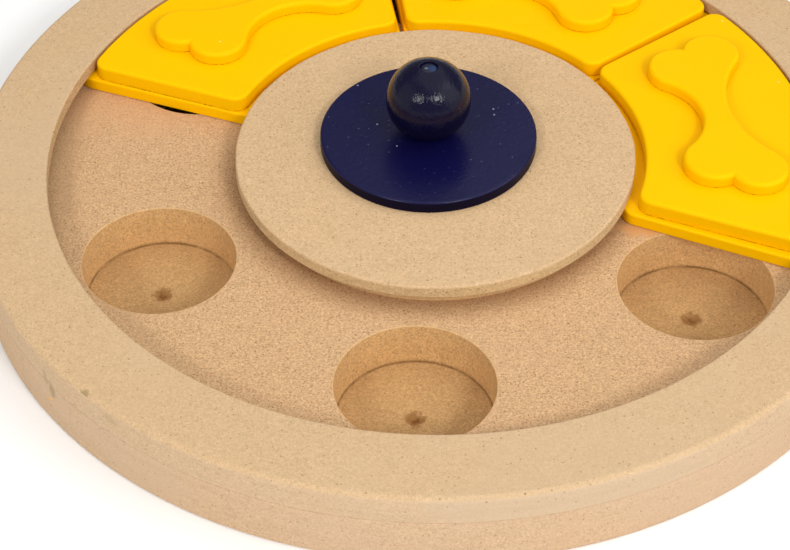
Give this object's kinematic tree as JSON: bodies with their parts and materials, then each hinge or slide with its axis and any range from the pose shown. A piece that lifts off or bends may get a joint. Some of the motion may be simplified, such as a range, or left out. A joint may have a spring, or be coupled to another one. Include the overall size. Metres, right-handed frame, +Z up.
{
  "type": "dog puzzle feeder toy",
  "caption": "Round wooden treat puzzle: drilled pockets under painted sliders with raised bone figures that run round a track, and a lift-off lid with a ball knob.",
  "frame": {"origin": "centre of the board's underside, on the surface it rests on", "axes": "+Z up; the sliders and the track turn about Z; -Y is the side with the open track, towards the picture's viewer"},
  "size_m": [0.276, 0.276, 0.053],
  "materials": {
    "raw_mdf": "raw sanded fibreboard, unpainted",
    "yellow_paint": "yellow painted fibreboard, satin",
    "navy_paint": "navy painted wood, semi-gloss",
    "zinc_screw": "zinc plated steel"
  },
  "bodies": {
    "board": {"base_board": "raw_mdf", "rim_ring": "raw_mdf", "hub_spacer": "raw_mdf", "centre_disc": "raw_mdf", "centre_screws": "zinc_screw"},
    "slider_right": {"slider_right_plate": "yellow_paint", "slider_right_block": "yellow_paint", "slider_right_bone": "yellow_paint"},
    "slider_middle": {"slider_middle_plate": "yellow_paint", "slider_middle_block": "yellow_paint", "slider_middle_bone": "yellow_paint"},
    "slider_left": {"slider_left_plate": "yellow_paint", "slider_left_block": "yellow_paint", "slider_left_bone": "yellow_paint"},
    "lid": {"lid_disc": "navy_paint", "knob_ball": "navy_paint", "knob_dowel": "navy_paint"}
  },
  "joints": [
    {"name": "right_slider_turn", "type": "hinge", "parent": "board", "child": "slider_right", "pos_m": [0, 0, 0.0185], "axis": [0, 0, 1], "continuous": true},
    {"name": "middle_slider_turn", "type": "hinge", "parent": "slider_right", "child": "slider_middle", "pos_m": [0, 0, 0.0185], "axis": [0, 0, 1], "range_deg": [0, 88]},
    {"name": "left_slider_turn", "type": "hinge", "parent": "slider_middle", "child": "slider_left", "pos_m": [0, 0, 0.0185], "axis": [0, 0, 1], "range_deg": [-0.9, 88]},
    {"name": "lid_lift", "type": "slide", "parent": "board", "child": "lid", "axis": [0, 0, 1], "range_m": [0, 0.06]}
  ]
}
